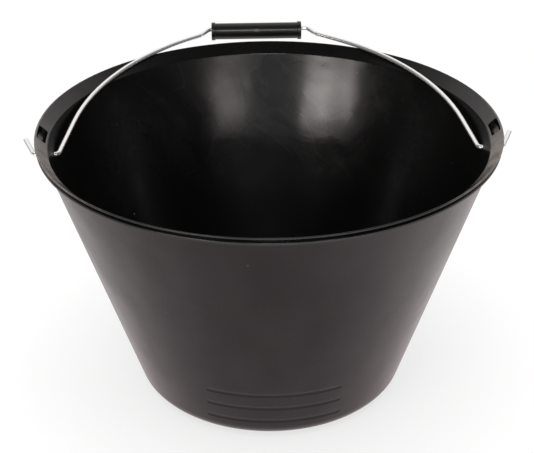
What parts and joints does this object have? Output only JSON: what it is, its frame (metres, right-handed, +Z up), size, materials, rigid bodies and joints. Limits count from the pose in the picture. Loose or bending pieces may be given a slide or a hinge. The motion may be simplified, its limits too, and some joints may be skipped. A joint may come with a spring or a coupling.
{
  "type": "mixing bucket",
  "caption": "Wide tapered black plastic bucket for mixing and carrying mortar or feed, with a flared rim, a swinging wire bail hooked through ears under the rim and a loose tubular grip.",
  "frame": {"origin": "centre of the flat underside, on the bucket's axis, at the level that it stands on", "axes": "+Z up along the bucket's axis; +X along the bail's pivot line; the bail lies back towards +Y at rest, and the finger grooves are at the front, towards -Y"},
  "size_m": [0.4286, 0.4189, 0.259],
  "materials": {
    "bucket_plastic": "black moulded polyethylene, smooth satin sheen",
    "galvanised_wire": "bright galvanised drawn wire",
    "grip_plastic": "black moulded plastic, semi-gloss"
  },
  "bodies": {
    "bucket": {"bucket_shell": "bucket_plastic"},
    "bail": {"bail_wire": "galvanised_wire"},
    "grip": {"handle_grip": "grip_plastic"}
  },
  "joints": [
    {"name": "bail_swing", "type": "hinge", "parent": "bucket", "child": "bail", "pos_m": [0, 0, 0.2203], "axis": [1, 0, 0], "range_deg": [0, 162.6]},
    {"name": "grip_spin", "type": "hinge", "parent": "bail", "child": "grip", "pos_m": [0, 0.21018, 0.25032], "axis": [1, 0, 0], "continuous": true}
  ]
}
